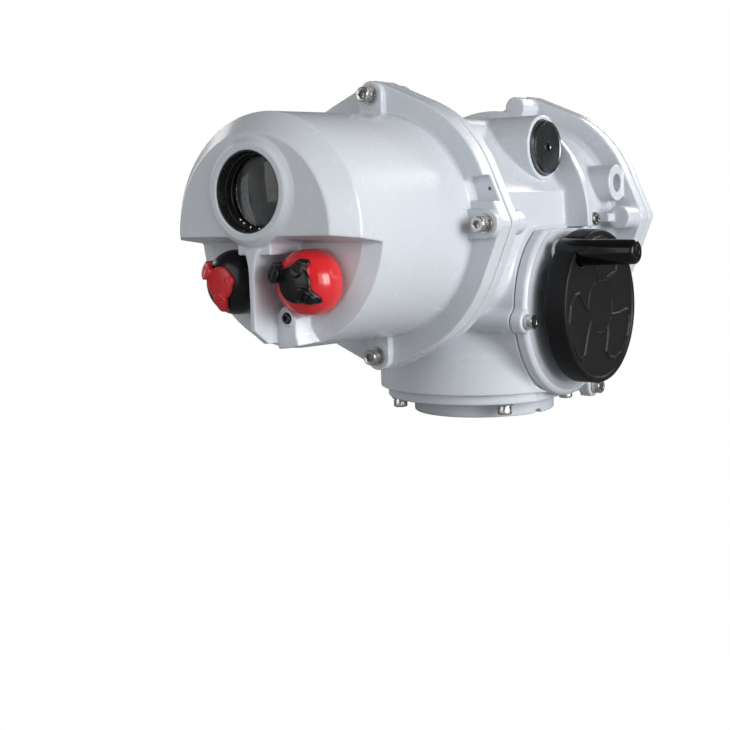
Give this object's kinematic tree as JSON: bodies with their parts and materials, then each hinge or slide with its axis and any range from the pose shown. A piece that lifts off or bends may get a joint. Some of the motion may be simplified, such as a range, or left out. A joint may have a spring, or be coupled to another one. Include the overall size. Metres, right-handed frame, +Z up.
{
  "type": "motorized valve actuator",
  "caption": "Electric multi-turn valve actuator: cast housing with a hooded control cover, round window, clawed knobs, side handwheel with grip, and a drive base.",
  "frame": {"origin": "on the vertical drive axis, at the flat lower face of the base spigot and drive bush", "axes": "+Z up along the drive axis, -Y towards the window and knobs, +X towards the handwheel"},
  "size_m": [0.3035, 0.4815, 0.3015],
  "materials": {
    "white_paint": "semi-gloss",
    "steel": "satin",
    "dark_steel": "satin",
    "black_rubber": "matt",
    "black_plastic": "satin",
    "red_plastic": "gloss",
    "window_glass": "gloss",
    "display": "satin",
    "board_green": "satin",
    "copper": "satin",
    "lamination_steel": "satin",
    "bronze": "satin",
    "aluminium": "satin",
    "grey_plastic": "matt"
  },
  "bodies": {
    "housing": {"gearcase": "white_paint", "control_cover": "white_paint", "rear_cover": "white_paint", "base_plate": "white_paint", "handwheel_flange": "white_paint", "control_cover_bolt_right": "steel", "control_cover_bolt_top": "steel", "control_cover_bolt_left": "steel", "control_cover_bolt_bottom": "steel", "rear_cover_bolt_right": "steel", "rear_cover_bolt_top": "steel", "rear_cover_bolt_left": "steel", "rear_cover_bolt_bottom": "steel", "base_bolt_1": "steel", "base_bolt_2": "steel", "base_bolt_3": "steel", "base_bolt_4": "steel", "handwheel_flange_bolt_1": "steel", "handwheel_flange_bolt_2": "steel", "handwheel_flange_bolt_3": "steel", "lower_drive_bearing": "steel", "upper_drive_bearing": "steel", "handwheel_bearing": "steel", "worm_bearing_front": "steel", "worm_bearing_rear": "steel", "oil_plug": "dark_steel", "conduit_plug_lower": "dark_steel", "conduit_plug_upper": "dark_steel", "knob_lock_screw": "dark_steel", "front_joint_seal": "black_rubber", "rear_joint_seal": "black_rubber", "drive_seal": "black_rubber", "handwheel_shaft_seal": "black_rubber", "window_retainer": "black_plastic", "window_glass": "window_glass", "display_module": "display", "power_board": "board_green", "sensor_board": "board_green", "transformer": "copper", "motor_stator": "lamination_steel", "electronics_plate": "aluminium", "terminal_block": "grey_plastic"},
    "selector": {"selector_knob": "red_plastic", "selector_claw": "black_plastic"},
    "command": {"command_knob": "black_plastic", "command_claw": "red_plastic"},
    "handwheel": {"handwheel_disc": "black_plastic", "handwheel_hub_cap": "black_plastic", "handwheel_shaft": "steel", "hand_pinion": "steel", "handle_pin": "steel"},
    "handle": {"handle_grip": "black_plastic"},
    "drive": {"drive_sleeve": "steel", "drive_bush": "bronze", "worm_wheel": "bronze"},
    "clutch": {"clutch_ring": "steel"},
    "worm": {"worm_shaft": "steel", "motor_rotor": "copper"},
    "hand_gear": {"hand_gear": "steel"}
  },
  "joints": [
    {"name": "selector_turn", "type": "hinge", "parent": "housing", "child": "selector", "pos_m": [0.036, -0.286, 0.1385], "axis": [0, -1, 0], "range_deg": [-45, 45]},
    {"name": "command_turn", "type": "hinge", "parent": "housing", "child": "command", "pos_m": [-0.036, -0.286, 0.1385], "axis": [0, -1, 0], "range_deg": [-40, 40], "stiffness_Nm_per_rad": 0.05},
    {"name": "handwheel_turn", "type": "hinge", "parent": "housing", "child": "handwheel", "pos_m": [0.128, 0, 0.0996], "axis": [1, 0, 0], "continuous": true},
    {"name": "handle_turn", "type": "hinge", "parent": "handwheel", "child": "handle", "pos_m": [0.128, -0.0335, 0.1494], "axis": [1, 0, 0], "continuous": true},
    {"name": "drive_turn", "type": "hinge", "parent": "housing", "child": "drive", "pos_m": [0, 0, 0.178], "axis": [0, 0, 1], "continuous": true},
    {"name": "clutch_slide", "type": "slide", "parent": "drive", "child": "clutch", "axis": [0, 0, 1], "range_m": [-0.024, 0]},
    {"name": "worm_turn", "type": "hinge", "parent": "housing", "child": "worm", "pos_m": [-0.0455, 0, 0.178], "axis": [0, 1, 0], "continuous": true},
    {"name": "hand_gear_turn", "type": "hinge", "parent": "housing", "child": "hand_gear", "pos_m": [0, 0, 0.08], "axis": [0, 0, 1], "continuous": true}
  ],
  "couplings": [
    {"joint": "drive_turn", "follows": "worm_turn", "ratio": 0.05},
    {"joint": "hand_gear_turn", "follows": "handwheel_turn", "ratio": -0.5}
  ]
}
